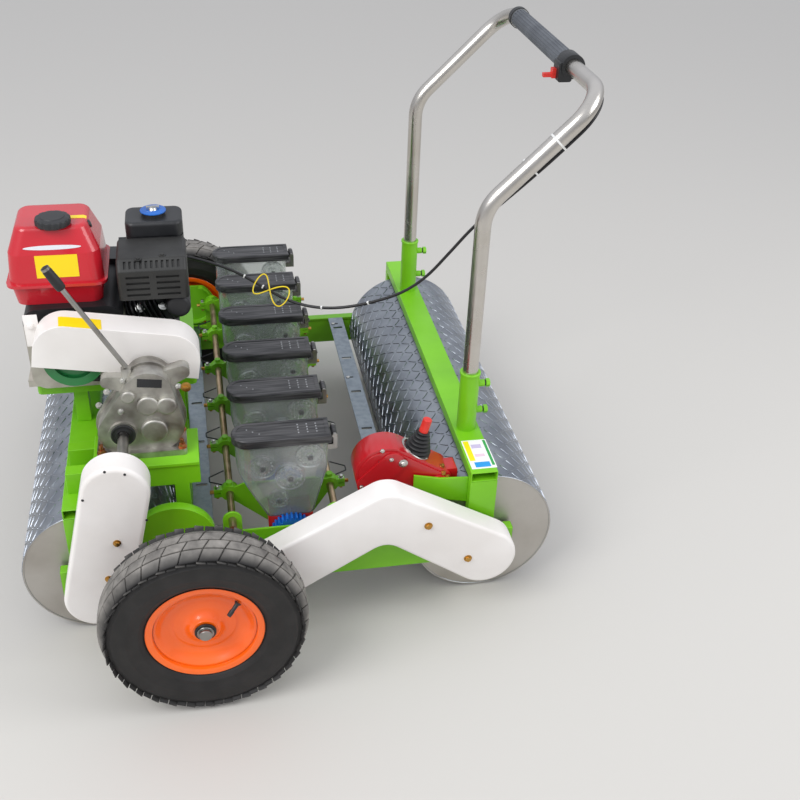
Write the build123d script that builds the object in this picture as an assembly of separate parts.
"""Self-propelled six-row precision vegetable seeder.

Millimetres. +X is forward, towards the engine end, +Y is the left side, +Z is up.
The machine is laid out from its own datum: x = 0 on the transport wheels' axle, y = 0 midway
between the side beams, z = 0 on the ground. export_node moves every piece to the stored frame,
whose origin is the bottom centre of the whole machine.
"""
import os
from math import asin, atan2, cos, degrees, hypot, pi, radians, sin, tan

from build123d import *

# General clearances
SEAT_GAP = 0.3          # between curved pieces of one body that sit together
RUN_GAP = 0.05          # radial clearance of a shaft in its bearing

# Rollers
ROLLER_RADIUS = 160.0
ROLLER_HALF = 480.0
ROLLER_WALL = 4.0
DISC_THICK = 6.0
DISC_INSET = 1.0        # end disc to the drum's edge
FRONT_ROLLER_X = 212.0
REAR_ROLLER_X = -627.0
ROLLER_SHAFT_RADIUS = 17.5

# Transport wheels, size 4.00-8
TYRE_RADIUS = 205.0
TYRE_WIDTH = 105.0
RIM_SEAT_RADIUS = 102.0
RIM_FLANGE_RADIUS = 116.0
RIM_HALF = 41.0
RIM_SHEET = 4.0
HUB_RADIUS = 26.0
STUB_RADIUS = 12.5
LEFT_WHEEL_GAP = 69.5    # tyre to the chain cases
RIGHT_WHEEL_GAP = 22.5   # tyre to the side beam

# Frame
BEAM_GAP = 6.0           # roller end to side beam
BEAM_DROP = 48.0         # underside of the side beams below the roller axle
BEAM_WIDTH = 24.0
BEAM_HEIGHT = 80.0
TUBE_WALL = 3.0
BEAM_FRONT_X = 290.0
BEAM_REAR_X = -686.0
CROSS_WIDTH = 60.0
CROSS_HEIGHT = 25.0
CROSS_CLEAR = 10.0       # cross beams over the rollers
FRONT_CROSS_X = 235.0
REAR_CROSS_X = -608.0
MID_BEAM_X = 27.0
MID_BEAM_WIDTH = 30.0
MID_BEAM_HEIGHT = 50.0
SCRAPER_SHEET = 3.0
SCRAPER_WIDTH = 42.0
SCRAPER_LIP = 34.0
FRONT_SCRAPER_X = -9.0
REAR_SCRAPER_X = -425.0
SLOT_LENGTH = 26.0
SLOT_WIDTH = 9.0

# Round side plates over the wheel mountings: centre x, centre z, radius
LEFT_DISC = (50.0, 250.0, 84.0)
RIGHT_DISC = (-17.0, 259.0, 60.0)
DISC_PLATE_SHEET = 4.0
DISC_PLATE_RIM = 22.0

# Bearings and chain cases
BEARING_DEPTH = 13.0
BEARING_RADIUS = 42.0
BEAM_BORE_RADIUS = 24.0
CASE_DEPTH = 55.0
CASE_SHEET = 3.0
CASE_EDGE = 9.0
CASE_HOLE_GAP = 6.0      # hole round a shaft in a case's back

# Handle
HANDLE_Y = 337.0
HANDLE_RADIUS = 17.0
HANDLE_WALL = 2.0
HANDLE_BEND_Z = 885.0
HANDLE_TOP_X = -830.0
HANDLE_TOP_Z = 1105.0
HANDLE_BEND_RADIUS = 95.0
HANDLE_TOP_BEND_RADIUS = 75.0
SOCKET_RADIUS = 21.5
SOCKET_HEIGHT = 147.0
GRIP_RADIUS = 21.0
GRIP_Y = (-244.0, 105.0)
GRIP_RIBS = 18
THROTTLE_WIDTH = 40.0
THROTTLE_RADIUS = 25.0
CLAMP_WIDTH = 16.0

# Row units
ROWS = 6
ROW_PITCH = 171.0
ROD_RADIUS = 8.0
FRONT_ROD_X = -70.0
REAR_ROD_X = -289.0
ROD_RISE = 78.0          # rods above the side beams
ROD_END_OUT = 6.0        # free left end of a rod past the side beam
CLAMP_RADIUS = 19.0
CLAMP_LENGTH = 16.0
CLAMP_EAR = 34.0
WIRE_RADIUS = 1.5
WIRE_REACH = 42.0
HOPPER_WIDTH = 60.0
HOPPER_WALL = 2.5
HOPPER_DROP = 24.0       # foot of a hopper under the rods
HOPPER_HEIGHT = 186.0
HOPPER_SHOULDER = 62.0   # straight part under the lid
HOPPER_RIM = 2.0
HOPPER_SIDE_ROUND = 60.0
HOPPER_FOOT_ROUND = 14.0
HOPPER_FRONT_X = -86.0
HOPPER_REAR_X = -276.0
HOPPER_FOOT_FRONT_X = -148.0
HOPPER_FOOT_REAR_X = -244.0
LID_WIDTH = 70.0
LID_THICK = 19.0
LID_SHEET = 3.0
LID_ROUND = 4.0
LID_PANEL_EDGE = 10.0
LID_PANEL_DEPTH = 1.0
LID_FRONT_X = -79.0
LID_REAR_X = -284.0
LID_GAP = 0.5
HINGE_PIN_RADIUS = 3.0
HINGE_BARREL_RADIUS = 6.0
HINGE_EAR_RADIUS = 5.5
HINGE_OFFSET = 9.0
ROW_SHAFT_X = -197.0
ROW_SHAFT_DROP = 62.0    # shaft under the rods
ROW_SHAFT_RADIUS = 9.0
GEAR_RADIUS = 46.0
GEAR_ROOT_RADIUS = 40.0
GEAR_TEETH = 28
GEAR_WIDTH = 20.0
PLATE_SHEET = 5.0
PLATE_ARM = 40.0
PLATE_DROP = 50.0        # end plates below the side beams' top
PLATE_RISE = 30.0        # end plates over the row shaft
SEED_PIN_RADIUS = 7.0
SEED_HUB_RADIUS = 12.0
SEED_RIM = 4.0
HOUSING_DROP = 50.0      # seed housing under the row shaft
OPENER_BOTTOM_Z = 36.0
OPENER_WIDTH = 16.0

# Engine
DECK_RISE = 129.0        # engine deck above the cross beams
CRANK_X = 222.0
CRANK_HEIGHT = 106.0
DECK_SHEET = 4.0
DECK_LIP = 36.0
DECK_X = (-18.0, 320.0)
DECK_Y = (-70.0, 222.0)
POST_INSET = 40.0
ENGINE_FACE_Y = 255.0
ENGINE_SIDE_Y = 60.0     # crankcase face behind the blower
CRANKCASE_X = (120.0, 318.0)
COVER_RADIUS = 76.0
COVER_DEPTH = 11.0
CYLINDER_LEAN = 68.0
CYLINDER_FINS = 9
FIN_PITCH = 10.0
FIN_THICK = 3.0
CRANK_SHAFT_RADIUS = 12.0
TANK_X = (143.0, 341.0)
TANK_Y = (60.0, 245.0)
TANK_RISE = 82.0         # tank above the crankshaft
TANK_FLANGE = 46.0
TANK_HEIGHT = 160.0
CAP_X = 232.0
CAP_Y = 196.0
CAP_RADIUS = 27.0
CAP_HEIGHT = 20.0
MUFFLER_X = (-18.0, 122.0)
MUFFLER_Y = (150.0, 268.0)
MUFFLER_RISE = 98.0
MUFFLER_HEIGHT = 84.0
MUFFLER_SLOPE = 20.0
SLOT_COUNT = 11
SLOT_STEP = 10.6
LEVEL_COUNT = 4
LEVEL_STEP = 13.0
LEVEL_LENGTH = 46.0
EXHAUST = (80.0, 186.0, 14.0)
SILENCER_X = 6.0
SILENCER_RADIUS = 25.0
SILENCER_Y = (176.0, 260.0)
CLEANER_X = (-14.0, 104.0)
CLEANER_Y = (52.0, 142.0)
CLEANER_RISE = 146.0
CLEANER_HEIGHT = 64.0
CLEANER_GROOVE = 4.0
INTAKE_X = (66.0, 124.0)
INTAKE_Y = (66.0, 104.0)
BLOWER_RADIUS = 96.0
BLOWER_DEPTH = 70.0
STARTER_RADIUS = 66.0
STARTER_DEPTH = 24.0

# Belt drive
PULLEY_Y = (288.0, 326.0)
CRANK_PULLEY_RADIUS = 60.0
INPUT_PULLEY_RADIUS = 60.0
INPUT_X = 72.0
INPUT_DROP = 13.0        # gearbox input under the crankshaft
INPUT_RADIUS = 10.0
GUARD_Y = (279.0, 345.0)
GUARD_SHEET = 2.0
GUARD_X = 139.0
GUARD_DROP = 25.0
GUARD_LENGTH = 328.0
GUARD_HEIGHT = 99.0
GUARD_CORNER = 62.0
GUARD_TILT = 9.6
GUARD_NOTCH = 20.0

# Gearbox: lobes and gear bulges as centre x, height over the seat, radius
SEAT_RISE = 57.0         # gearbox seat above the cross beams
GEARBOX_Y = (352.0, 420.0)
GEARBOX_X = (3.0, 185.0)
GEARBOX_FOOT = 14.0
GEARBOX_FLANGE = 5.0
GEAR_BULGES = ((116.0, 145.0, 14.0), (80.0, 121.0, 22.0), (43.0, 118.0, 20.0), (72.0, 60.0, 27.0))
BULGE_HEIGHT = 9.0
GEAR_LEVER_X = 116.0
GEAR_LEVER_Y = 392.0
GEAR_LEVER_RADIUS = 5.0
GEAR_LEVER_RUN = (120.0, 8.0, 227.0)
LEVER_GRIP = 50.0
OUTPUT_X = 134.0
OUTPUT_HEIGHT = 58.0
OUTPUT_RADIUS = 11.0
SEAT_PLATE = 8.0
SEAT_PLATE_X = (-12.0, 200.0)
SEAT_PLATE_Y = (340.0, 462.0)

# Gearbox that sets the seed spacing
SPACING_DEPTH = 70.0
SPACING_COVER = 7.0
LEVER_X = -470.0
LEVER_Y = 446.0
LEVER_LEAN = 15.0
BOOT_FOLDS = 6
BOOT_RADIUS = 30.0
BOOT_HEIGHT = 50.0
BOOT_FOLD_DEPTH = 5.0
BOOT_SINK = 14.0         # part of the turned boot that its slope cuts away
KNOB_RADIUS = 10.0
KNOB_HEIGHT = 32.0

# Throttle cable from the handle to the carburettor, as the corners of its route
CABLE_RADIUS = 3.25
CABLE_ROUTE = (
    (-845.5, 152.0, 1089.0), (-845.5, 187.0, 1089.0), (-850.0, 238.0, 1084.5), (-845.5, 293.0, 1089.0),
    (-814.3, 337.0, 1058.0), (-762.5, 337.5, 1005.5), (-712.0, 333.0, 953.5), (-650.0, 324.0, 891.0),
    (-600.0, 308.0, 838.0), (-556.0, 290.0, 770.0), (-512.0, 272.0, 704.0), (-466.0, 252.0, 660.0),
    (-412.0, 228.0, 630.0), (-348.0, 201.0, 604.0), (-286.0, 175.0, 594.0), (-226.0, 150.0, 604.0),
    (-172.0, 126.0, 632.0), (-118.0, 104.0, 660.0), (-60.0, 91.0, 680.0), (4.0, 84.0, 697.0),
    (INTAKE_X[0], 84.0, 697.0))

# Positions worked out from the sizes above
BEAM_INNER_Y = ROLLER_HALF + BEAM_GAP
BEAM_OUTER_Y = BEAM_INNER_Y + BEAM_WIDTH
BEAM_BOTTOM_Z = ROLLER_RADIUS - BEAM_DROP
BEAM_TOP_Z = BEAM_BOTTOM_Z + BEAM_HEIGHT
CROSS_BOTTOM_Z = 2 * ROLLER_RADIUS + CROSS_CLEAR
CROSS_TOP_Z = CROSS_BOTTOM_Z + CROSS_HEIGHT
CASE_BACK_Y = BEAM_OUTER_Y + BEARING_DEPTH
CASE_FACE_Y = CASE_BACK_Y + CASE_DEPTH
LEFT_WHEEL_Y = CASE_FACE_Y + LEFT_WHEEL_GAP + TYRE_WIDTH / 2
RIGHT_WHEEL_Y = -(BEAM_OUTER_Y + RIGHT_WHEEL_GAP + TYRE_WIDTH / 2)
ROD_ENDS = (-BEAM_INNER_Y + 0.5, BEAM_OUTER_Y + ROD_END_OUT)
ROD_Z = BEAM_TOP_Z + ROD_RISE
ROW_SHAFT_Z = ROD_Z - ROW_SHAFT_DROP
HOPPER_BOTTOM_Z = ROD_Z - HOPPER_DROP
HOPPER_TOP_Z = HOPPER_BOTTOM_Z + HOPPER_HEIGHT
SEED_DISCS = ((-140.0, HOPPER_BOTTOM_Z + 126, 28.0), (-198.0, HOPPER_BOTTOM_Z + 94, 32.0),
              (-240.0, HOPPER_BOTTOM_Z + 146, 30.0), (-172.0, HOPPER_BOTTOM_Z + 37, 22.0))
SPACING_LOBES = ((-398.0, CROSS_BOTTOM_Z + 20, 66.0), (-516.0, CROSS_BOTTOM_Z - 10, 28.0))
DECK_TOP_Z = CROSS_TOP_Z + DECK_RISE
CRANK_Z = DECK_TOP_Z + CRANK_HEIGHT
INPUT_Z = CRANK_Z - INPUT_DROP
TANK_BOTTOM_Z = CRANK_Z + TANK_RISE
TANK_FLANGE_Z = TANK_BOTTOM_Z + TANK_FLANGE
TANK_TOP_Z = TANK_BOTTOM_Z + TANK_HEIGHT
MUFFLER_Z = (CRANK_Z + MUFFLER_RISE, CRANK_Z + MUFFLER_RISE + MUFFLER_HEIGHT)
CLEANER_Z = (CRANK_Z + CLEANER_RISE, CRANK_Z + CLEANER_RISE + CLEANER_HEIGHT)
SEAT_Z = CROSS_TOP_Z + SEAT_RISE
OUTPUT_Z = SEAT_Z + OUTPUT_HEIGHT
GEARBOX_LOBES = ((134.0, SEAT_Z + 56, 50.0), (72.0, SEAT_Z + 66, 60.0), (76.0, SEAT_Z + 148, 46.0))
FRONT_CASE = ((FRONT_ROLLER_X, ROLLER_RADIUS + 5, 68.0), (OUTPUT_X + 16, OUTPUT_Z - 38, 66.0))
REAR_CASE = ((REAR_ROLLER_X + 22, ROLLER_RADIUS + 12, 70.0), (-387.0, CROSS_BOTTOM_Z - 5, 74.0),
             (ROW_SHAFT_X + 57, ROW_SHAFT_Z - 38, 65.0))
ROW_YS = [ROW_PITCH * ((ROWS - 1) / 2 - row) for row in range(ROWS)]
ORIGIN_X = (FRONT_ROLLER_X + ROLLER_RADIUS + HANDLE_TOP_X - THROTTLE_RADIUS) / 2
ORIGIN_Y = (LEFT_WHEEL_Y + RIGHT_WHEEL_Y) / 2
STORED = Location((-ORIGIN_X, -ORIGIN_Y, 0))


def export_node(name, *solids):
    """Move the solids to the stored frame and write them as one node."""
    shape = solids[0] if len(solids) == 1 else Compound(children=[s for s in solids])
    export_step(shape.moved(STORED), f"parts/{name}.step")


def block(x, y, z):
    """Box between two limits on each axis."""
    size = (x[1] - x[0], y[1] - y[0], z[1] - z[0])
    return Pos((x[0] + x[1]) / 2, (y[0] + y[1]) / 2, (z[0] + z[1]) / 2) * Box(*size)


def rod_y(x, z, radius, y):
    """Round bar along Y."""
    middle = Pos(x, (y[0] + y[1]) / 2, z) * Rot(90, 0, 0)
    return middle * Cylinder(radius, y[1] - y[0])


def rod_z(x, y, radius, z):
    """Round bar along Z."""
    return Pos(x, y, (z[0] + z[1]) / 2) * Cylinder(radius, z[1] - z[0])


def slab(profile, y):
    """Extrude an X-Z profile between two Y limits."""
    return extrude(Plane.XZ.offset(-y[1]) * profile, amount=y[1] - y[0])


def turned(profile, x, y, z):
    """Revolve a profile drawn as (radius, y) about a Y axis through a point."""
    return Pos(x, y, z) * revolve(profile, axis=Axis.Y)


def box_tube(x, y, z, axis, wall=TUBE_WALL):
    """Rectangular tube, open at both ends along its axis."""
    limits = [x, y, z]
    inner = [(a + wall, b - wall) for a, b in limits]
    inner["xyz".index(axis)] = limits["xyz".index(axis)]
    return block(*limits) - block(*inner)


def link_profile(circles, grow=0.0):
    """Outline round each neighbouring pair of circles, as on a chain case."""
    pairs = []
    for (x0, z0, r0), (x1, z1, r1) in zip(circles, circles[1:]):
        ends = Pos(x0, z0) * Circle(r0 + grow), Pos(x1, z1) * Circle(r1 + grow)
        pairs.append(make_hull(ends[0].edges() + ends[1].edges()))
    outline = pairs[0]
    for pair in pairs[1:]:
        outline += pair
    return outline


# Frame
def side_beam(side):
    """Side beam with its two shaft holes."""
    y = sorted((side * BEAM_INNER_Y, side * BEAM_OUTER_Y))
    beam = box_tube((BEAM_REAR_X, BEAM_FRONT_X), y, (BEAM_BOTTOM_Z, BEAM_TOP_Z), "x")
    for x in (FRONT_ROLLER_X, REAR_ROLLER_X):
        beam -= rod_y(x, ROLLER_RADIUS, BEAM_BORE_RADIUS, y)
    return beam


def cross_beam(x):
    return box_tube((x - CROSS_WIDTH / 2, x + CROSS_WIDTH / 2), (-BEAM_OUTER_Y, BEAM_OUTER_Y),
                    (CROSS_BOTTOM_Z, CROSS_TOP_Z), "y")


def cross_legs(x):
    """Pair of box tubes that carry a cross beam."""
    legs = []
    for side in (1, -1):
        y = sorted((side * BEAM_INNER_Y, side * BEAM_OUTER_Y))
        legs.append(box_tube((x - CROSS_WIDTH / 2, x + CROSS_WIDTH / 2), y,
                             (BEAM_TOP_Z, CROSS_BOTTOM_Z), "z"))
    return legs


def scraper(x):
    """Slotted strip between the side beams, with a lip that hangs towards its roller."""
    x0, x1 = x - SCRAPER_WIDTH / 2, x + SCRAPER_WIDTH / 2
    lip_x = x1 - SCRAPER_SHEET if x > REAR_SCRAPER_X else x0
    under = BEAM_TOP_Z - SCRAPER_SHEET
    span = (-BEAM_INNER_Y, BEAM_INNER_Y)
    strip = block((x0, x1), span, (under, BEAM_TOP_Z))
    strip += block((lip_x, lip_x + SCRAPER_SHEET), span, (BEAM_TOP_Z - SCRAPER_LIP, under))
    for y in ROW_YS:
        strip -= block((x - SLOT_LENGTH / 2, x + SLOT_LENGTH / 2),
                       (y - SLOT_WIDTH / 2, y + SLOT_WIDTH / 2), (under, BEAM_TOP_Z))
    return strip


def round_plate(side, disc):
    """Round-topped plate with a turned rim that shields a wheel mounting."""
    x, z, radius = disc
    outer = BEAM_OUTER_Y
    face = Pos(x, z) * Circle(radius) & Pos(x, BEAM_TOP_Z + radius) * Rectangle(2 * radius, 2 * radius)
    hollow = Pos(x, z) * Circle(radius - DISC_PLATE_SHEET)
    y_face = sorted((side * (outer - DISC_PLATE_SHEET), side * outer))
    y_rim = sorted((side * (outer - DISC_PLATE_RIM), side * outer))
    plate = slab(face, y_face) + slab(face - hollow, y_rim)
    return plate


def wheel_mount(side, wheel_y):
    """Stub axle with its flange on the side beam."""
    flange = (BEAM_OUTER_Y, BEAM_OUTER_Y + BEARING_DEPTH)
    y_in = side * (BEAM_OUTER_Y + BEARING_DEPTH)
    y_out = wheel_y + side * (RIM_HALF + 6)
    axle = rod_y(0, TYRE_RADIUS, STUB_RADIUS, sorted((y_in, y_out)))
    axle += block((-40, 40), sorted((side * flange[0], side * flange[1])),
                  (BEAM_BOTTOM_Z + 6, TYRE_RADIUS + 30))
    hub_in = abs(wheel_y) - RIM_HALF - 2
    axle += rod_y(0, TYRE_RADIUS, STUB_RADIUS + 7, sorted((y_in, side * hub_in)))
    return axle


def bearing(x, side):
    """Flanged bearing of a roller shaft, bolted to the outside of a side beam."""
    y = sorted((side * BEAM_OUTER_Y, side * CASE_BACK_Y))
    ring = rod_y(x, ROLLER_RADIUS, BEARING_RADIUS, y)
    return ring - rod_y(x, ROLLER_RADIUS, ROLLER_SHAFT_RADIUS + RUN_GAP, y)


# Rollers
def roller_drum(x):
    """Steel drum with an end disc welded in near each end, bored for the shaft."""
    z = ROLLER_RADIUS
    inside = ROLLER_RADIUS - ROLLER_WALL
    drum = rod_y(x, z, ROLLER_RADIUS, (-ROLLER_HALF, ROLLER_HALF))
    drum -= rod_y(x, z, inside, (-ROLLER_HALF, -ROLLER_HALF + DISC_INSET))
    drum -= rod_y(x, z, inside, (ROLLER_HALF - DISC_INSET, ROLLER_HALF))
    disc_in = ROLLER_HALF - DISC_INSET - DISC_THICK
    drum -= rod_y(x, z, inside, (-disc_in, disc_in))
    return drum - rod_y(x, z, ROLLER_SHAFT_RADIUS + SEAT_GAP, (-ROLLER_HALF, ROLLER_HALF))


def roller_shaft(x):
    """Shaft through the drum, from the right bearing into the chain case."""
    left_end = CASE_FACE_Y - 3 * CASE_SHEET
    return rod_y(x, ROLLER_RADIUS, ROLLER_SHAFT_RADIUS, (-CASE_BACK_Y - 8, left_end))


# Wheels
def tyre(y):
    """Tyre section turned about the axle: beads, bulged side walls and flat crown."""
    half = TYRE_WIDTH / 2
    bead = RIM_SEAT_RADIUS + SEAT_GAP
    crown = TYRE_RADIUS
    side_r = (bead + crown) / 2
    bead_y = RIM_HALF - RIM_SHEET - SEAT_GAP
    edge = Line((bead, -bead_y), (RIM_FLANGE_RADIUS + 2, -bead_y))
    edge += ThreePointArc((RIM_FLANGE_RADIUS + 2, -bead_y), (side_r, -half), (crown - 16, -half + 8))
    edge += ThreePointArc((crown - 16, -half + 8), (crown - 4.2, -half + 22.1), (crown, -half + 40))
    edge += Line((crown, -half + 40), (crown, half - 40))
    edge += ThreePointArc((crown, half - 40), (crown - 4.2, half - 22.1), (crown - 16, half - 8))
    edge += ThreePointArc((crown - 16, half - 8), (side_r, half), (RIM_FLANGE_RADIUS + 2, bead_y))
    edge += Line((RIM_FLANGE_RADIUS + 2, bead_y), (bead, bead_y))
    edge += Line((bead, bead_y), (bead, -bead_y))
    return turned(make_face(edge), 0, y, TYRE_RADIUS)


def ring(r, y):
    """Rectangle of a turned section between two radii."""
    return Pos((r[0] + r[1]) / 2, (y[0] + y[1]) / 2) * Rectangle(r[1] - r[0], y[1] - y[0])


def rim(side, y):
    """Pressed rim: barrel, two flanges, dished disc and hub tube."""
    barrel = RIM_SEAT_RADIUS - RIM_SHEET, RIM_SEAT_RADIUS
    flange = RIM_SEAT_RADIUS - RIM_SHEET, RIM_FLANGE_RADIUS
    section = ring(barrel, (-RIM_HALF, RIM_HALF))
    section += ring(flange, (RIM_HALF - RIM_SHEET, RIM_HALF))
    section += ring(flange, (-RIM_HALF, -RIM_HALF + RIM_SHEET))
    section += ring((STUB_RADIUS + RUN_GAP, HUB_RADIUS), (-RIM_HALF, RIM_HALF - 8))
    dish = Polyline((HUB_RADIUS - 2, 22), (64, 14), (RIM_SEAT_RADIUS - 1, 34),
                    (RIM_SEAT_RADIUS - 1, 34 - RIM_SHEET), (66, 10), (HUB_RADIUS - 2, 18), close=True)
    section += make_face(dish)
    if side < 0:
        section = section.mirror(Plane.XZ)
    return turned(section, 0, y, TYRE_RADIUS)


# Chain cases
def chain_case(circles, holes):
    """Closed sheet case along the left side beam, with shaft holes in its back."""
    case = slab(link_profile(circles), (CASE_BACK_Y, CASE_FACE_Y))
    face = case.faces().sort_by(Axis.Y)[-1]
    case = fillet(face.edges(), CASE_EDGE)
    case -= slab(link_profile(circles, -CASE_SHEET - CASE_EDGE / 2),
                 (CASE_BACK_Y + CASE_SHEET, CASE_FACE_Y - CASE_SHEET))
    for x, z, radius in holes:
        case -= rod_y(x, z, radius, (CASE_BACK_Y - 1, CASE_BACK_Y + CASE_SHEET + 1))
    return case


# Handle
def handle():
    """One bent tube from socket to socket."""
    foot = CROSS_TOP_Z
    points = [(REAR_CROSS_X, HANDLE_Y, foot), (REAR_CROSS_X, HANDLE_Y, HANDLE_BEND_Z),
              (HANDLE_TOP_X, HANDLE_Y, HANDLE_TOP_Z), (HANDLE_TOP_X, -HANDLE_Y, HANDLE_TOP_Z),
              (REAR_CROSS_X, -HANDLE_Y, HANDLE_BEND_Z), (REAR_CROSS_X, -HANDLE_Y, foot)]
    bends = (HANDLE_BEND_RADIUS, HANDLE_TOP_BEND_RADIUS, HANDLE_TOP_BEND_RADIUS, HANDLE_BEND_RADIUS)
    path = FilletPolyline(*points, radius=bends)
    section = Plane(points[0], z_dir=(0, 0, 1)) * (Circle(HANDLE_RADIUS)
                                                  - Circle(HANDLE_RADIUS - HANDLE_WALL))
    return sweep(section, path=path)


def socket(side):
    """Round socket with two threaded bosses for its clamp bolts."""
    z = (CROSS_TOP_Z, CROSS_TOP_Z + SOCKET_HEIGHT)
    y = side * HANDLE_Y
    tube = rod_z(REAR_CROSS_X, y, SOCKET_RADIUS, z)
    for height in (45, 115):
        boss = Pos(REAR_CROSS_X - SOCKET_RADIUS - 4, y, CROSS_TOP_Z + height) * Rot(0, 90, 0)
        tube += boss * Cylinder(8, 16)
    return tube - rod_z(REAR_CROSS_X, y, HANDLE_RADIUS + SEAT_GAP, z)


def grip():
    """Ribbed sleeve on the cross tube."""
    sleeve = rod_y(HANDLE_TOP_X, HANDLE_TOP_Z, GRIP_RADIUS, GRIP_Y)
    for rib in range(GRIP_RIBS):
        angle = 2 * pi * rib / GRIP_RIBS
        x = HANDLE_TOP_X + (GRIP_RADIUS + 0.6) * cos(angle)
        z = HANDLE_TOP_Z + (GRIP_RADIUS + 0.6) * sin(angle)
        sleeve -= rod_y(x, z, 2.0, (GRIP_Y[0] + 6, GRIP_Y[1] - 6))
    return sleeve - rod_y(HANDLE_TOP_X, HANDLE_TOP_Z, HANDLE_RADIUS + SEAT_GAP, GRIP_Y)


def handle_ring(y, radius):
    """Clamp ring round the cross tube."""
    body = rod_y(HANDLE_TOP_X, HANDLE_TOP_Z, radius, y)
    return body - rod_y(HANDLE_TOP_X, HANDLE_TOP_Z, HANDLE_RADIUS + SEAT_GAP, y)


# Row units
def d_outline(front, rear, width, grow=0.0):
    """Plan outline of a lid or hopper: round nose in front, square at the rear."""
    radius = width / 2 + grow
    nose_x = front + grow - radius
    body = Pos((nose_x + rear - grow) / 2, 0) * Rectangle(nose_x - rear + grow, 2 * radius)
    return body + Pos(nose_x, 0) * Circle(radius)


def hopper(y):
    """Clear seed hopper: D-shaped above, drawn in to its foot in soft curves, with a beaded rim."""
    shoulder_z = HOPPER_TOP_Z - HOPPER_SHOULDER

    def side(inset, top_z):
        """Side view of the hopper, or of the room inside it."""
        face = make_face(Polyline(
            (HOPPER_FRONT_X - inset, top_z), (HOPPER_FRONT_X - inset, shoulder_z),
            (HOPPER_FOOT_FRONT_X - inset, HOPPER_BOTTOM_Z + inset),
            (HOPPER_FOOT_REAR_X + inset, HOPPER_BOTTOM_Z + inset),
            (HOPPER_REAR_X + inset, shoulder_z), (HOPPER_REAR_X + inset, top_z), close=True))
        face = fillet(face.vertices().sort_by(Axis.Y)[2:4], HOPPER_SIDE_ROUND - inset)
        return fillet(face.vertices().sort_by(Axis.Y)[:2], HOPPER_FOOT_ROUND - inset)

    def plan(grow, z):
        """D-shaped plan between two heights."""
        outline = d_outline(HOPPER_FRONT_X, HOPPER_REAR_X, HOPPER_WIDTH, grow)
        return extrude(Plane.XY.offset(z[0]) * outline, amount=z[1] - z[0])

    half = HOPPER_WIDTH / 2
    shell = slab(side(0, HOPPER_TOP_Z), (-half, half)) & plan(0, (HOPPER_BOTTOM_Z, HOPPER_TOP_Z))
    shell += plan(HOPPER_RIM, (HOPPER_TOP_Z - 2 * HOPPER_RIM, HOPPER_TOP_Z))
    room = slab(side(HOPPER_WALL, HOPPER_TOP_Z + 1), (-half, half))
    shell -= room & plan(-HOPPER_WALL, (HOPPER_BOTTOM_Z, HOPPER_TOP_Z + 1))
    return Pos(0, y, 0) * shell


def lid(y):
    """Shallow lid over the hopper: rounded top with a sunk panel, and a hinge barrel at the rear."""
    z0 = HOPPER_TOP_Z + LID_GAP
    hinge_x = LID_REAR_X - HINGE_OFFSET
    hinge_z = z0 + HINGE_BARREL_RADIUS
    width = (-LID_WIDTH / 5, LID_WIDTH / 5)
    cap = extrude(Plane.XY.offset(z0) * d_outline(LID_FRONT_X, LID_REAR_X, LID_WIDTH), amount=LID_THICK)
    cap = fillet(cap.faces().sort_by(Axis.Z)[-1].edges(), LID_ROUND)
    panel = d_outline(LID_FRONT_X, LID_REAR_X, LID_WIDTH, -LID_PANEL_EDGE)
    cap -= extrude(Plane.XY.offset(z0 + LID_THICK - LID_PANEL_DEPTH) * panel, amount=LID_PANEL_DEPTH)
    room = d_outline(LID_FRONT_X, LID_REAR_X, LID_WIDTH, -LID_SHEET)
    cap -= extrude(Plane.XY.offset(z0) * room, amount=LID_THICK - LID_SHEET)
    tab = slab(Pos(hinge_x, hinge_z) * Circle(HINGE_BARREL_RADIUS), width)
    tab += block((hinge_x, LID_REAR_X + 1), width, (z0 + 1, hinge_z))
    cap += tab
    cap -= rod_y(hinge_x, hinge_z, HINGE_PIN_RADIUS + RUN_GAP, (2 * width[0], 2 * width[1]))
    return Pos(0, y, 0) * cap


def hinge_bracket(y):
    """Hinge pin with its two ears, on the hopper's rear wall."""
    x = LID_REAR_X - HINGE_OFFSET
    z = HOPPER_TOP_Z + LID_GAP + HINGE_BARREL_RADIUS
    inner = LID_WIDTH / 5 + 1
    outer = inner + 5
    foot = (HOPPER_TOP_Z - 26, HOPPER_TOP_Z - 14)
    bracket = rod_y(x, z, HINGE_PIN_RADIUS, (-outer, outer))
    for side in (1, -1):
        ear_y = sorted((side * inner, side * outer))
        bracket += rod_y(x, z, HINGE_EAR_RADIUS, ear_y)
        bracket += block((x - HINGE_EAR_RADIUS, x + HINGE_PIN_RADIUS), ear_y, (foot[0], z))
    bracket += block((x - HINGE_EAR_RADIUS, HOPPER_REAR_X), (-outer, outer), foot)
    return Pos(0, y, 0) * bracket


def rod_clamp(x, side, y):
    """Cast clamp on a rod: collar, split ears that point away from the hopper, and a boss on top."""
    ears_x = sorted((x, x + side * CLAMP_EAR))
    ears_y = (y[0] + 3, y[1] - 3)
    clamp = rod_y(x, ROD_Z, CLAMP_RADIUS, y)
    clamp += block(ears_x, ears_y, (ROD_Z - 10, ROD_Z + 10))
    clamp += rod_z(x, (y[0] + y[1]) / 2, 7, (ROD_Z, ROD_Z + CLAMP_RADIUS + 7))
    return clamp - block(ears_x, ears_y, (ROD_Z - 1.5, ROD_Z + 1.5))


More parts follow.
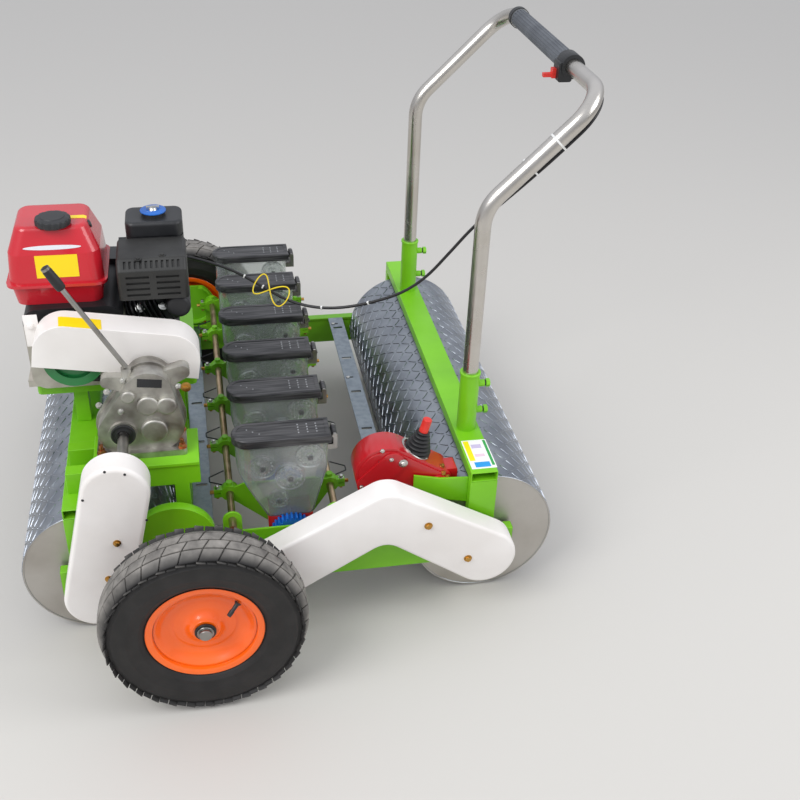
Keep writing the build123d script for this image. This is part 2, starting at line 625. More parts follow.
def row_plate(y):
    """Green bracket plate beside a hopper with its clamps on the two rods."""
    half = HOPPER_WIDTH / 2
    y_plate = (y - half - SEAT_GAP - PLATE_SHEET, y - half - SEAT_GAP)
    outline = make_face(Polyline(
        (FRONT_ROD_X, ROD_Z + 12), (HOPPER_FRONT_X - 20, ROD_Z + 26), (HOPPER_REAR_X + 20, ROD_Z + 26),
        (REAR_ROD_X, ROD_Z + 12), (REAR_ROD_X, ROD_Z - 12), (HOPPER_FOOT_REAR_X, ROW_SHAFT_Z - 20),
        (HOPPER_FOOT_FRONT_X, ROW_SHAFT_Z - 20), (FRONT_ROD_X, ROD_Z - 12), close=True))
    plate = slab(outline, y_plate)
    y_clamp = (y_plate[0] - CLAMP_LENGTH, y_plate[1])
    for x, side in ((FRONT_ROD_X, 1), (REAR_ROD_X, -1)):
        plate += rod_clamp(x, side, y_clamp)
    for x in (FRONT_ROD_X, REAR_ROD_X):
        plate -= rod_y(x, ROD_Z, ROD_RADIUS + SEAT_GAP, (y_clamp[0] - 1, y_clamp[1] + 1))
    plate -= rod_y(ROW_SHAFT_X, ROW_SHAFT_Z, ROW_SHAFT_RADIUS + 1, (y_plate[0] - 1, y_plate[1] + 1))
    return plate


def row_wire(y, x, side):
    """Bent wire from a clamp out past the rod and back to it."""
    start_y = y - HOPPER_WIDTH / 2 - SEAT_GAP - PLATE_SHEET - CLAMP_LENGTH
    root = x + side * (CLAMP_RADIUS - 4)
    tip = x + side * WIRE_REACH
    end = x + side * (ROD_RADIUS + SEAT_GAP + WIRE_RADIUS)
    z = ROD_Z + 4
    points = [(root, start_y, z), (root, start_y - 8, z), (tip, start_y - 22, z), (tip, start_y - 38, z),
              (end, start_y - 58, z)]
    path = FilletPolyline(*points, radius=4)
    return sweep(Plane(points[0], z_dir=(0, -1, 0)) * Circle(WIRE_RADIUS), path=path)


def row_wires():
    """Front and rear wires between neighbouring units."""
    return [row_wire(y, x, side) for y in ROW_YS[:-1] for x, side in ((FRONT_ROD_X, 1), (REAR_ROD_X, -1))]


def seed_housing(y):
    """Housing under the hopper that holds the seed roller, drawn in to the opener."""
    half = HOPPER_WIDTH / 2
    neck = OPENER_WIDTH + 2
    low = ROW_SHAFT_Z - HOUSING_DROP
    outline = make_face(Polyline(
        (HOPPER_FOOT_FRONT_X, HOPPER_BOTTOM_Z), (HOPPER_FOOT_FRONT_X, ROW_SHAFT_Z), (ROW_SHAFT_X + neck, low),
        (ROW_SHAFT_X - neck, low), (HOPPER_FOOT_REAR_X, ROW_SHAFT_Z), (HOPPER_FOOT_REAR_X, HOPPER_BOTTOM_Z),
        close=True))
    outline = fillet(outline.vertices().sort_by(Axis.Y)[2:4], 20)
    body = slab(outline, (y - half, y + half))
    return body - rod_y(ROW_SHAFT_X, ROW_SHAFT_Z, ROW_SHAFT_RADIUS + SEAT_GAP, (y - half - 1, y + half + 1))


def opener(y):
    """Shoe that opens the seed furrow: a blade with a rounded toe that sweeps back."""
    neck = OPENER_WIDTH + 2
    top = ROW_SHAFT_Z - HOUSING_DROP
    outline = make_face(Polyline(
        (ROW_SHAFT_X + neck, top), (ROW_SHAFT_X + neck + 8, OPENER_BOTTOM_Z + 30),
        (ROW_SHAFT_X + neck - 10, OPENER_BOTTOM_Z), (ROW_SHAFT_X - 2 * neck - 4, OPENER_BOTTOM_Z),
        (ROW_SHAFT_X - neck, top), close=True))
    outline = fillet(outline.vertices().sort_by(Axis.Y)[2], 22)
    return slab(outline, (y - OPENER_WIDTH / 2, y + OPENER_WIDTH / 2))


def row_gear(y):
    """Wide spur gear on the row shaft, outboard of the hopper."""
    y0 = y + HOPPER_WIDTH / 2 + 1.5
    span = (y0, y0 + GEAR_WIDTH)
    outline = Circle(GEAR_ROOT_RADIUS)
    tooth = Polyline((GEAR_ROOT_RADIUS - 2, -3.4), (GEAR_RADIUS, -1.8), (GEAR_RADIUS, 1.8),
                     (GEAR_ROOT_RADIUS - 2, 3.4), close=True)
    tooth_face = make_face(tooth)
    for index in range(GEAR_TEETH):
        outline += Rot(0, 0, 360 * index / GEAR_TEETH) * tooth_face
    outline -= Circle(ROW_SHAFT_RADIUS + SEAT_GAP)
    return slab(Pos(ROW_SHAFT_X, ROW_SHAFT_Z) * outline, span)


def seed_discs(y):
    """Clear wheels on their pins, on the left wall inside the hopper: hub, thin web and thick rim."""
    wall = HOPPER_WIDTH / 2 - HOPPER_WALL
    discs = []
    for x, z, radius in SEED_DISCS:
        section = ring((0, SEED_PIN_RADIUS), (5, wall))
        section += ring((0, SEED_HUB_RADIUS), (9, wall - 6))
        section += ring((0, radius), (13, 17))
        section += ring((radius - SEED_RIM, radius), (9, wall - 6))
        discs.append(turned(section, x, y, z))
    return discs


# Engine
def engine_deck():
    """Folded tray that the engine stands on."""
    deck = block(DECK_X, DECK_Y, (DECK_TOP_Z - DECK_LIP, DECK_TOP_Z))
    room_x = (DECK_X[0] + DECK_SHEET, DECK_X[1] - DECK_SHEET)
    room_y = (DECK_Y[0] + DECK_SHEET, DECK_Y[1] - DECK_SHEET)
    deck = fillet(deck.edges().filter_by(Axis.Z), 12)
    return deck - block(room_x, room_y, (DECK_TOP_Z - DECK_LIP, DECK_TOP_Z - DECK_SHEET))


def deck_posts():
    """Four box posts from the cross beams up to the deck."""
    posts = []
    size = MID_BEAM_WIDTH
    for x, foot in ((FRONT_CROSS_X, CROSS_TOP_Z), (MID_BEAM_X, BEAM_TOP_Z)):
        for y in (DECK_Y[0] + POST_INSET, DECK_Y[1] - POST_INSET):
            posts.append(box_tube((x - size / 2, x + size / 2), (y - size / 2, y + size / 2),
                                  (foot, DECK_TOP_Z - DECK_SHEET), "z"))
    return posts


def gearbox_seat():
    """Plate under the gearbox on two rails from the front beam, with rear posts."""
    top = SEAT_Z
    under = top - SEAT_PLATE
    seat = block(SEAT_PLATE_X, SEAT_PLATE_Y, (under, top))
    size = MID_BEAM_WIDTH
    for y in (SEAT_PLATE_Y[0] + 20, SEAT_PLATE_Y[1] - 20):
        span = (y - size / 2, y + size / 2)
        seat += box_tube((SEAT_PLATE_X[0], FRONT_CROSS_X + 20), span, (CROSS_TOP_Z, under), "x")
        seat += box_tube((MID_BEAM_X - size / 2, MID_BEAM_X + size / 2), span,
                         (BEAM_TOP_Z, CROSS_TOP_Z), "z")
    return seat


def crankcase():
    """Crankcase with side cover and base, finned cylinder with its head, silencer and intake."""
    z0 = DECK_TOP_Z
    mid_y = (ENGINE_SIDE_Y + ENGINE_FACE_Y) / 2
    case = block(CRANKCASE_X, (ENGINE_SIDE_Y, ENGINE_FACE_Y), (z0, TANK_BOTTOM_Z))
    case = fillet(case.edges().filter_by(Axis.Y), 30)
    case += block((CRANKCASE_X[0] - 10, CRANKCASE_X[1] + 12), (ENGINE_SIDE_Y + 2, ENGINE_FACE_Y - 10),
                  (z0, z0 + 16))
    cover = rod_y(CRANK_X, CRANK_Z, COVER_RADIUS, (ENGINE_FACE_Y, ENGINE_FACE_Y + COVER_DEPTH))
    cover = fillet(cover.faces().sort_by(Axis.Y)[-1].edges(), COVER_DEPTH / 2)
    case += cover
    case += rod_y(CRANK_X, CRANK_Z, COVER_RADIUS / 2, (ENGINE_FACE_Y, ENGINE_FACE_Y + COVER_DEPTH + 8))

    tilt = Pos(CRANKCASE_X[0] + 30, mid_y - 7, CRANK_Z - 18) * Rot(0, -CYLINDER_LEAN, 0)
    barrel = 40 + CYLINDER_FINS * FIN_PITCH
    case += tilt * (Pos(0, 0, barrel / 2) * Cylinder(44, barrel))
    for fin in range(CYLINDER_FINS):
        plate = tilt * (Pos(0, 0, 34 + FIN_PITCH * fin) * RectangleRounded(96, 116, 20))
        case += extrude(plate, amount=FIN_THICK)
    case += extrude(tilt * (Pos(0, 0, barrel - 10) * RectangleRounded(92, 108, 12)), amount=14)
    case += extrude(tilt * (Pos(0, 0, barrel) * RectangleRounded(62, 84, 14)), amount=24)

    exhaust_x, exhaust_y, exhaust_radius = EXHAUST
    case += rod_z(exhaust_x, exhaust_y, exhaust_radius, (CRANK_Z + 10, MUFFLER_Z[0]))
    silencer = rod_y(SILENCER_X, MUFFLER_Z[0] - SILENCER_RADIUS - 2, SILENCER_RADIUS, SILENCER_Y)
    case += fillet(silencer.faces().sort_by(Axis.Y)[-1].edges(), 9)
    case += block(INTAKE_X, INTAKE_Y, (CRANK_Z + 40, CLEANER_Z[0]))
    bowl_x, bowl_y = (INTAKE_X[0] + INTAKE_X[1]) / 2, (INTAKE_Y[0] + INTAKE_Y[1]) / 2
    case += rod_z(bowl_x, bowl_y, 17, (CRANK_Z + 22, CRANK_Z + 40))
    bore = CRANK_SHAFT_RADIUS + SEAT_GAP
    return case - rod_y(CRANK_X, CRANK_Z, bore, (ENGINE_FACE_Y - 0.1, ENGINE_FACE_Y + COVER_DEPTH + 9))


def tank_section(x, y, z, corner):
    """One level of the fuel tank: rounded rectangle at a height."""
    size = (x[1] - x[0], y[1] - y[0])
    middle = Pos((x[0] + x[1]) / 2, (y[0] + y[1]) / 2)
    return Plane.XY.offset(z) * (middle * RectangleRounded(*size, corner))


def fuel_tank():
    """Pressed tank: tray below, domed shell above, seam flange between."""
    x, y = TANK_X, TANK_Y
    inset = [(14, TANK_BOTTOM_Z), (8, TANK_FLANGE_Z - 3)]
    levels = [tank_section((x[0] + i, x[1] - i), (y[0] + i, y[1] - i), z, 22) for i, z in inset]
    tank = loft(levels)
    tank += extrude(tank_section(x, y, TANK_FLANGE_Z - 3, 24), amount=6)
    upper = [(6, 8, TANK_FLANGE_Z + 3, 24), (10, 16, TANK_FLANGE_Z + 62, 26), (30, 34, TANK_TOP_Z, 24)]
    shell = [tank_section((x[0] + a, x[1] - a), (y[0] + b, y[1] - b), z, r) for a, b, z, r in upper]
    tank += loft(shell[:2], ruled=True)
    dome = loft(shell[1:], ruled=True)
    return tank + fillet(dome.faces().sort_by(Axis.Z)[-1].edges(), 12)


def recoil_starter():
    """Blower housing with the slotted recoil starter and its grip, on the far side of the engine."""
    y = (ENGINE_SIDE_Y - BLOWER_DEPTH, ENGINE_SIDE_Y)
    scroll = ((CRANK_X - 6, CRANK_Z, BLOWER_RADIUS), (CRANKCASE_X[0] - 16, CRANK_Z + 40, 52))
    housing = slab(link_profile(scroll), y)
    housing = fillet(housing.faces().sort_by(Axis.Y)[0].edges(), 10)
    face = y[0] - STARTER_DEPTH
    cover = rod_y(CRANK_X - 6, CRANK_Z, STARTER_RADIUS, (face, y[0]))
    cover = fillet(cover.faces().sort_by(Axis.Y)[0].edges(), 9)
    for slot in range(12):
        slit = Pos(0, 0, 44) * Box(5, 12, 20)
        cover -= Pos(CRANK_X - 6, face, CRANK_Z) * Rot(0, 30 * slot, 0) * slit
    grip = rod_y(CRANK_X + 40, CRANK_Z + 62, 9, (face - 4, y[0] + 2))
    return housing + cover + grip


def muffler_guard():
    """Muffler guard: sloped front edge with upright slots, over two columns of level slots."""
    x, y, z = MUFFLER_X, MUFFLER_Y, MUFFLER_Z
    side = Polyline((y[0], z[0]), (y[1], z[0]), (y[1], z[1] - MUFFLER_SLOPE), (y[1] - MUFFLER_SLOPE, z[1]),
                    (y[0], z[1]), close=True)
    guard = extrude(Plane.YZ.offset(x[0]) * make_face(side), amount=x[1] - x[0])
    guard = fillet(guard.edges().filter_by(Axis.X).sort_by(Axis.Z)[2:], 6)
    guard = fillet(guard.edges().filter_by(Axis.Z), 8)
    middle = (x[0] + x[1]) / 2
    slit = Rot(45, 0, 0) * Box(SLOT_STEP / 2, 8, 0.8 * MUFFLER_SLOPE)
    for slot in range(SLOT_COUNT):
        slot_x = middle + SLOT_STEP * (slot - (SLOT_COUNT - 1) / 2)
        guard -= Pos(slot_x, y[1] - MUFFLER_SLOPE / 2, z[1] - MUFFLER_SLOPE / 2) * slit
    for level in range(LEVEL_COUNT):
        slot_z = z[0] + 9 + LEVEL_STEP * level
        for column in (middle - 7 - LEVEL_LENGTH, middle + 7):
            guard -= block((column, column + LEVEL_LENGTH), (y[1] - 4, y[1] + 1), (slot_z, slot_z + 5))
    return guard


def belt_guard():
    """Arched sheet cover over the belt, tilted along it, open below and behind."""
    seat = Pos(GUARD_X, CRANK_Z - GUARD_DROP) * Rot(0, 0, GUARD_TILT)

    def arch(inset):
        """Arch of the cover, or of the room inside it."""
        height = GUARD_HEIGHT - inset
        outline = RectangleRounded(GUARD_LENGTH - 2 * inset, 2 * height, GUARD_CORNER - inset)
        return seat * (outline & Pos(0, height) * Rectangle(GUARD_LENGTH, 2 * height))

    cover = slab(arch(0), GUARD_Y)
    cover = fillet(cover.edges().group_by(Axis.Y)[-1].sort_by(Axis.Z)[1:], 1.5)
    cover -= slab(arch(GUARD_SHEET), (GUARD_Y[0], GUARD_Y[1] - GUARD_SHEET))
    top_x, top_z, top_radius = GEARBOX_LOBES[2]
    boss_x, boss_z = top_x + 0.65 * top_radius, top_z + 0.4 * top_radius
    boss = rod_y(boss_x, boss_z, 8, (GUARD_Y[1] - GUARD_SHEET, GEARBOX_Y[0]))
    notch = Pos(INPUT_X, INPUT_Z) * Circle(GUARD_NOTCH)
    notch += Pos(INPUT_X, INPUT_Z - GUARD_HEIGHT / 2) * Rectangle(2 * GUARD_NOTCH, GUARD_HEIGHT)
    return cover + boss - slab(notch, (GUARD_Y[1] - GUARD_SHEET - 1, GUARD_Y[1] + 1))


def pulley(x, z, radius, bore):
    """Grooved belt pulley with a dished face."""
    rim_y = PULLEY_Y[1] - PULLEY_Y[0]
    section = ring((bore, radius), (0, rim_y))
    groove = make_face(Polyline((radius + 1, 9), (radius - 12, 14), (radius - 12, 24), (radius + 1, 29),
                                close=True))
    section -= groove
    section -= ring((bore + 12, radius - 18), (rim_y - 8, rim_y))
    return turned(section, x, PULLEY_Y[0], z)


def belt():
    """V-belt round the two pulleys."""
    circles = ((CRANK_X, CRANK_Z, CRANK_PULLEY_RADIUS), (INPUT_X, INPUT_Z, INPUT_PULLEY_RADIUS))
    y = (PULLEY_Y[0] + 14.5, PULLEY_Y[0] + 23.5)
    return slab(link_profile(circles, -2.0) - link_profile(circles, -11.7), y)


def gearbox():
    """Die-cast gearbox: lobed body with its joint flange, bulges over the gears, ears, bosses and feet."""
    x, y = GEARBOX_X, GEARBOX_Y
    low, side, top = GEARBOX_LOBES

    def outline(grow):
        """Outline round the three lobes."""
        return link_profile((low, side, top, low), grow)

    body = slab(outline(0), y)
    body += slab(outline(GEARBOX_FLANGE), (y[0] + 22, y[0] + 32))
    foot = block((x[0] + 8, x[1] + 6), (y[0], y[1] + 14), (SEAT_Z, SEAT_Z + GEARBOX_FOOT))
    body += fillet(foot.edges().filter_by(Axis.Z), 8)
    for bulge_x, height, radius in GEAR_BULGES:
        bulge = rod_y(bulge_x, SEAT_Z + height, radius, (y[1] - 1, y[1] + BULGE_HEIGHT))
        body += fillet(bulge.faces().sort_by(Axis.Y)[-1].edges(), BULGE_HEIGHT / 2)
    ears = ((x[0] + 5, SEAT_Z + 176, 15), (x[1] - 30, SEAT_Z + 166, 13))
    for ear, y_ear in zip(ears, ((y[0] + 20, y[0] + 44), (y[0] + 28, y[0] + 48))):
        body += slab(link_profile((ear, (top[0], top[1], 24))), y_ear)
    body += rod_y(OUTPUT_X, OUTPUT_Z, 2.6 * OUTPUT_RADIUS, (y[1], y[1] + 8))
    body += rod_z(GEAR_LEVER_X, GEAR_LEVER_Y, 2 * GEAR_LEVER_RADIUS, (top[1], top[1] + top[2]))
    return body - rod_y(OUTPUT_X, OUTPUT_Z, OUTPUT_RADIUS + SEAT_GAP, (y[1] - 20, y[1] + 9))


def gear_lever():
    """Shift lever with its grip, leaning forward from its boss on the gearbox."""
    foot = Vector(GEAR_LEVER_X, GEAR_LEVER_Y, GEARBOX_LOBES[2][1] + GEARBOX_LOBES[2][2] + 2.7)
    tip = foot + Vector(*GEAR_LEVER_RUN)
    along = (tip - foot).normalized()
    grip_foot = tip - along * LEVER_GRIP
    lever = sweep(Plane(foot, z_dir=along) * Circle(GEAR_LEVER_RADIUS), path=Line(foot, tip))
    grip = sweep(Plane(grip_foot, z_dir=along) * Circle(1.7 * GEAR_LEVER_RADIUS), path=Line(grip_foot, tip))
    return lever + grip


def front_case():
    """Case of the chain from the gearbox down to the front roller."""
    holes = ((FRONT_ROLLER_X, ROLLER_RADIUS, BEAM_BORE_RADIUS),
             (OUTPUT_X, OUTPUT_Z, OUTPUT_RADIUS + CASE_HOLE_GAP))
    return chain_case(FRONT_CASE, holes)


def rear_case():
    """Case of the chain from the rear roller forward to the row shaft."""
    holes = ((REAR_ROLLER_X, ROLLER_RADIUS, BEAM_BORE_RADIUS),
             (ROW_SHAFT_X, ROW_SHAFT_Z, ROW_SHAFT_RADIUS + CASE_HOLE_GAP))
    return chain_case(REAR_CASE, holes)


def throttle_housing(y):
    """Switch and throttle block beside the grip, with the gland that its cable leaves by."""
    body = rod_y(HANDLE_TOP_X, HANDLE_TOP_Z, THROTTLE_RADIUS, y)
    switch_x = (HANDLE_TOP_X, HANDLE_TOP_X + 30)
    switch_z = (HANDLE_TOP_Z - 32, HANDLE_TOP_Z + 8)
    switch = block(switch_x, (y[0] + 3, y[1] - 3), switch_z)
    body += fillet(switch.edges().filter_by(Axis.Y), 5)
    gland_x, gland_y, gland_z = CABLE_ROUTE[0]
    body += rod_y(gland_x, gland_z, 2 * CABLE_RADIUS, (y[1] - 10, gland_y))
    return body - rod_y(HANDLE_TOP_X, HANDLE_TOP_Z, HANDLE_RADIUS + SEAT_GAP, (y[0] - 1, gland_y + 1))


def throttle_lever(y):
    """Thumb lever on the front of the throttle block."""
    x = HANDLE_TOP_X + 30
    z = HANDLE_TOP_Z - 18
    lever = block((x, x + 8), (y[0] + 8, y[0] + 22), (z - 10, z + 10))
    return lever + block((x + 8, x + 26), (y[0] + 10, y[0] + 20), (z - 8, z))


def row_rods():
    """Front and rear rods that carry the row units."""
    rods = []
    for x in (FRONT_ROD_X, REAR_ROD_X):
        rods.append(rod_y(x, ROD_Z, ROD_RADIUS, ROD_ENDS))
    return rods


def rod_end_plate(side):
    """Plate on a side beam's inner face that holds both rods and the row shaft."""
    y = sorted((side * (BEAM_INNER_Y - PLATE_SHEET), side * BEAM_INNER_Y))
    foot = BEAM_TOP_Z - PLATE_DROP
    low = ROW_SHAFT_Z + PLATE_RISE
    profile = Pos((FRONT_ROD_X + REAR_ROD_X) / 2, (foot + low) / 2)
    profile = profile * Rectangle(FRONT_ROD_X - REAR_ROD_X + PLATE_ARM, low - foot)
    for x in (FRONT_ROD_X, REAR_ROD_X):
        profile += Pos(x, (foot + ROD_Z) / 2) * Rectangle(PLATE_ARM, ROD_Z - foot)
        profile += Pos(x, ROD_Z) * Circle(PLATE_ARM / 2)
    for x in (FRONT_ROD_X, REAR_ROD_X):
        profile -= Pos(x, ROD_Z) * Circle(ROD_RADIUS + RUN_GAP)
    profile -= Pos(ROW_SHAFT_X, ROW_SHAFT_Z) * Circle(ROW_SHAFT_RADIUS + SEAT_GAP)
    return slab(profile, y)


def row_shaft():
    """Shaft along all the row units, driven from inside the rear chain case."""
    return rod_y(ROW_SHAFT_X, ROW_SHAFT_Z, ROW_SHAFT_RADIUS, (-BEAM_INNER_Y + 0.5, CASE_BACK_Y + 30))


def fuel_cap():
    """Lobed cap on its neck."""
    cap = Pos(CAP_X, CAP_Y, TANK_TOP_Z + SEAT_GAP + CAP_HEIGHT / 2) * Cylinder(CAP_RADIUS, CAP_HEIGHT)
    cap = fillet(cap.faces().sort_by(Axis.Z)[-1].edges(), 5)
    for rib in range(10):
        angle = 2 * pi * rib / 10
        x = CAP_X + (CAP_RADIUS + 2) * cos(angle)
        y = CAP_Y + (CAP_RADIUS + 2) * sin(angle)
        cap -= rod_z(x, y, 4, (TANK_TOP_Z + 6, TANK_TOP_Z + CAP_HEIGHT + 2))
    return cap


def air_cleaner():
    """Air cleaner: base, shadow groove, rounded cover and its round knob."""
    x, y, z = CLEANER_X, CLEANER_Y, CLEANER_Z
    box = block(x, y, z)
    box = fillet(box.edges().filter_by(Axis.Z), 18)
    box = fillet(box.faces().sort_by(Axis.Z)[-1].edges(), 8)
    sunk = CLEANER_GROOVE / 2
    groove = ((z[0] + z[1] - CLEANER_GROOVE) / 2, (z[0] + z[1] + CLEANER_GROOVE) / 2)
    core = block((x[0] + sunk, x[1] - sunk), (y[0] + sunk, y[1] - sunk), groove)
    core = fillet(core.edges().filter_by(Axis.Z), 18 - sunk)
    box -= block((x[0] - 1, x[1] + 1), (y[0] - 1, y[1] + 1), groove) - core
    return box + rod_z((x[0] + x[1]) / 2, (y[0] + y[1]) / 2, 24, (z[1], z[1] + 8))


def pulleys():
    """Crank pulley and gearbox input pulley with their shafts."""
    crank = pulley(CRANK_X, CRANK_Z, CRANK_PULLEY_RADIUS, 0.0)
    crank += rod_y(CRANK_X, CRANK_Z, CRANK_SHAFT_RADIUS, (ENGINE_FACE_Y, PULLEY_Y[1] + 4))
    driven = pulley(INPUT_X, INPUT_Z, INPUT_PULLEY_RADIUS, 0.0)
    driven += rod_y(INPUT_X, INPUT_Z, INPUT_RADIUS, (PULLEY_Y[0], GEARBOX_Y[0]))
    return crank, driven


def output_shaft():
    """Shaft from the gearbox into the front chain case."""
    return rod_y(OUTPUT_X, OUTPUT_Z, OUTPUT_RADIUS, (GEARBOX_Y[1] - 19, CASE_BACK_Y + 30))


def lobe_slope():
    """Slope of the spacing gearbox's top in degrees."""
    (x0, z0, r0), (x1, z1, r1) = SPACING_LOBES
    return degrees(atan2(z0 - z1, x0 - x1) + asin((r0 - r1) / hypot(x0 - x1, z0 - z1)))


def boot_seat(lean):
    """Middle of the boot's foot on the gearbox, with its axis leaned back."""
    (x0, z0, r0), (x1, z1, r1) = SPACING_LOBES
    share = (LEVER_X - x0) / (x1 - x0)
    height = (r0 + share * (r1 - r0)) / cos(radians(lobe_slope()))
    return Pos(LEVER_X, LEVER_Y, z0 + share * (z1 - z0) + height) * Rot(0, -lean, 0)


def spacing_gearbox():
    """Cast gearbox that sets the seed spacing: lobed body, bolted cover, boot seat and end block."""
    y = (BEAM_INNER_Y - SPACING_DEPTH, BEAM_INNER_Y)
    (x0, z0, r0), (x1, z1, r1) = SPACING_LOBES
    body = slab(link_profile(SPACING_LOBES), (y[0], y[1] - SPACING_COVER))
    cover = ((x0 + 0.55 * r0, z0 - 0.3 * r0, 0.4 * r0), (x0 - 0.2 * r0, z0 + 0.45 * r0, 0.4 * r0))
    body += slab(link_profile(cover), (y[1] - SPACING_COVER, y[1]))
    body += slab(link_profile(SPACING_LOBES, -7), (y[1] - SPACING_COVER, y[1] - SPACING_COVER + 3))
    body += rod_y(x1, z1, 0.6 * r1, (y[1] - SPACING_COVER, y[1]))
    body += boot_seat(lobe_slope()) * (Pos(0, 0, -BOOT_SINK) * Cylinder(BOOT_RADIUS + 3, 2 * BOOT_SINK))
    end = block((x1 - 42, x1), (LEVER_Y - 16, LEVER_Y + 24), (z1 - 3, z1 + 22))
    return body + fillet(end.edges().filter_by(Axis.Y), 4)


def spacing_bracket():
    """Plate from the rear leg that carries the spacing gearbox."""
    leg_x = REAR_CROSS_X + CROSS_WIDTH / 2
    x1, z1, r1 = SPACING_LOBES[1]
    tip_x = (SPACING_LOBES[0][0] + x1) / 2
    outline = Polyline((leg_x, CROSS_BOTTOM_Z), (leg_x, z1 - 2 * r1), (x1, z1 - 1.5 * r1), (tip_x, z1 - r1),
                       (tip_x, z1 + r1), (x1, z1 + r1 / 2), close=True)
    return slab(make_face(outline), (BEAM_INNER_Y, BEAM_INNER_Y + PLATE_SHEET))


def lever_boot():
    """Rubber bellows turned about the leaning lever and cut to the slope of its seat."""
    fold = BOOT_HEIGHT / BOOT_FOLDS
    outline = [(0, -BOOT_SINK), (BOOT_RADIUS, -BOOT_SINK), (BOOT_RADIUS, 0)]
    for index in range(BOOT_FOLDS):
        crest = BOOT_RADIUS * (1 - 0.6 * index / BOOT_FOLDS)
        outline.append((crest - BOOT_FOLD_DEPTH, fold * (index + 0.35)))
        outline.append((crest, fold * (index + 0.7)))
        outline.append((crest - 1, fold * (index + 1)))
    outline.append((0, BOOT_HEIGHT))
    boot = revolve(Plane.XZ * make_face(Polyline(*outline, close=True)), axis=Axis.Z)
    reach = 4 * BOOT_RADIUS
    under = boot_seat(lobe_slope()) * (Pos(0, 0, -reach / 2) * Box(reach, reach, reach))
    return boot_seat(LEVER_LEAN) * boot - under


def spacing_lever():
    """Lever knob on top of the boot."""
    knob = Pos(0, 0, BOOT_HEIGHT + KNOB_HEIGHT / 2) * Cylinder(KNOB_RADIUS, KNOB_HEIGHT)
    return boot_seat(LEVER_LEAN) * fillet(knob.faces().sort_by(Axis.Z)[-1].edges(), 3)


def control_cable():
    """Throttle cable: straight runs joined by arcs as large as their runs allow."""
    points = [Vector(*point) for point in CABLE_ROUTE]
    bends = []
    for before, corner, after in zip(points, points[1:], points[2:]):
        turn = (corner - before).get_angle(after - corner)
        shorter = min((corner - before).length, (after - corner).length)
        bends.append(0.45 * shorter / tan(radians(turn / 2)))
    print("cable bends in mm:", [round(bend) for bend in bends])
    path = FilletPolyline(*points, radius=bends)
    print("cable length in mm:", round(path.length))
    return sweep(Plane(points[0], z_dir=points[1] - points[0]) * Circle(CABLE_RADIUS), path=path)


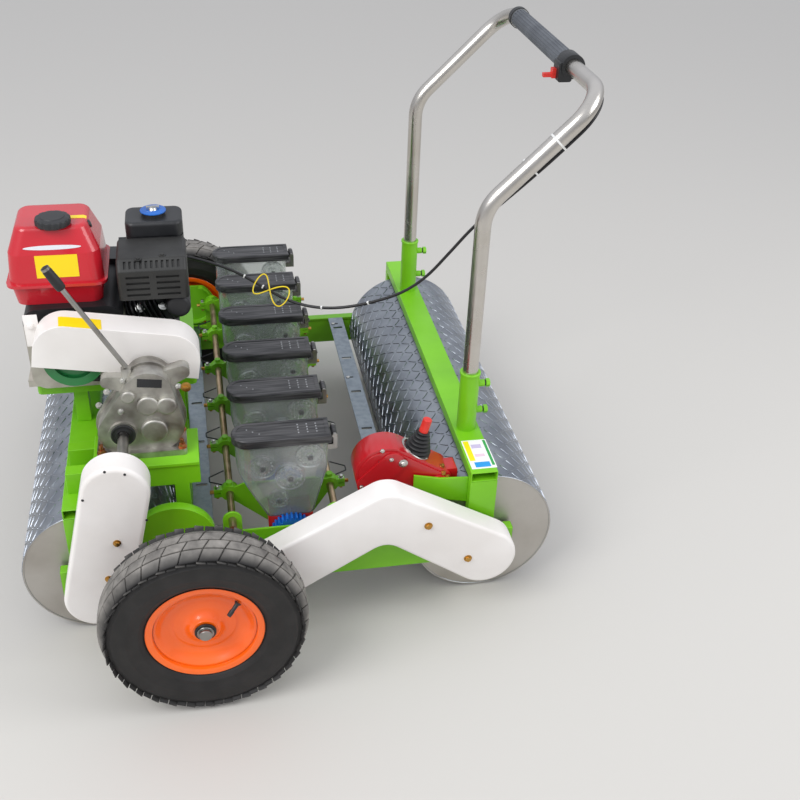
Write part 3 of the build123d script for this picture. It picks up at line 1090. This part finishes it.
def main():
    os.makedirs("parts", exist_ok=True)
    mid_x = (MID_BEAM_X - MID_BEAM_WIDTH / 2, MID_BEAM_X + MID_BEAM_WIDTH / 2)
    mid_beam = box_tube(mid_x, (-BEAM_INNER_Y, BEAM_INNER_Y), (BEAM_TOP_Z - MID_BEAM_HEIGHT, BEAM_TOP_Z), "y")
    export_node("side_beams", side_beam(1), side_beam(-1))
    export_node("cross_beams", cross_beam(FRONT_CROSS_X), cross_beam(REAR_CROSS_X), mid_beam)
    export_node("frame_legs", *cross_legs(FRONT_CROSS_X), *cross_legs(REAR_CROSS_X))
    export_node("scraper_strips", scraper(FRONT_SCRAPER_X), scraper(REAR_SCRAPER_X))
    export_node("round_plates", round_plate(1, LEFT_DISC), round_plate(-1, RIGHT_DISC))

    export_node("wheel_mounts", wheel_mount(1, LEFT_WHEEL_Y), wheel_mount(-1, RIGHT_WHEEL_Y))
    for name, side, wheel_y in (("left", 1, LEFT_WHEEL_Y), ("right", -1, RIGHT_WHEEL_Y)):
        export_node(f"{name}_tyre", tyre(wheel_y))
        export_node(f"{name}_rim", rim(side, wheel_y))

    bearings = [bearing(x, side) for x in (FRONT_ROLLER_X, REAR_ROLLER_X) for side in (1, -1)]
    export_node("roller_bearings", *bearings)
    for name, x in (("front", FRONT_ROLLER_X), ("rear", REAR_ROLLER_X)):
        export_node(f"{name}_roller_drum", roller_drum(x))
        export_node(f"{name}_roller_shaft", roller_shaft(x))
    export_node("front_chain_case", front_case())
    export_node("rear_chain_case", rear_case())

    export_node("handlebar", handle())
    export_node("handle_sockets", socket(1), socket(-1))
    export_node("hand_grip", grip())
    throttle_y = (GRIP_Y[1] + 1, GRIP_Y[1] + 1 + THROTTLE_WIDTH)
    export_node("throttle_housing", throttle_housing(throttle_y))
    export_node("throttle_lever", throttle_lever(throttle_y))
    export_node("grip_clamp", handle_ring((GRIP_Y[0] - 1 - CLAMP_WIDTH, GRIP_Y[0] - 1), GRIP_RADIUS + 3))

    export_node("row_rods", *row_rods())
    export_node("rod_end_plates", rod_end_plate(1), rod_end_plate(-1))
    export_node("row_shaft", row_shaft())
    export_node("seed_hoppers", *[hopper(y) for y in ROW_YS])
    for row, y in enumerate(ROW_YS, start=1):
        export_node(f"hopper_lid_{row}", lid(y))
    export_node("lid_hinges", *[hinge_bracket(y) for y in ROW_YS])
    export_node("row_plates", *[row_plate(y) for y in ROW_YS])
    export_node("seed_housings", *[seed_housing(y) for y in ROW_YS])
    export_node("furrow_openers", *[opener(y) for y in ROW_YS])
    export_node("row_gears", *[row_gear(y) for y in ROW_YS])
    export_node("row_wires", *row_wires())
    export_node("seed_discs", *[disc for y in ROW_YS for disc in seed_discs(y)])

    export_node("engine_deck", engine_deck())
    export_node("deck_posts", *deck_posts())
    export_node("engine_block", crankcase())
    export_node("fuel_tank", fuel_tank())
    export_node("fuel_cap", fuel_cap())
    export_node("recoil_starter", recoil_starter())
    export_node("muffler_guard", muffler_guard())
    export_node("air_cleaner", air_cleaner())
    export_node("belt_guard", belt_guard())
    export_node("belt_pulleys", *pulleys())
    export_node("drive_belt", belt())
    export_node("gearbox_seat", gearbox_seat())
    export_node("gearbox", gearbox())
    export_node("gearbox_lever", gear_lever())
    export_node("gearbox_output_shaft", output_shaft())

    export_node("spacing_gearbox", spacing_gearbox())
    export_node("spacing_bracket", spacing_bracket())
    export_node("spacing_lever_boot", lever_boot())
    export_node("spacing_lever", spacing_lever())
    export_node("control_cable", control_cable())


if __name__ == "__main__":
    main()
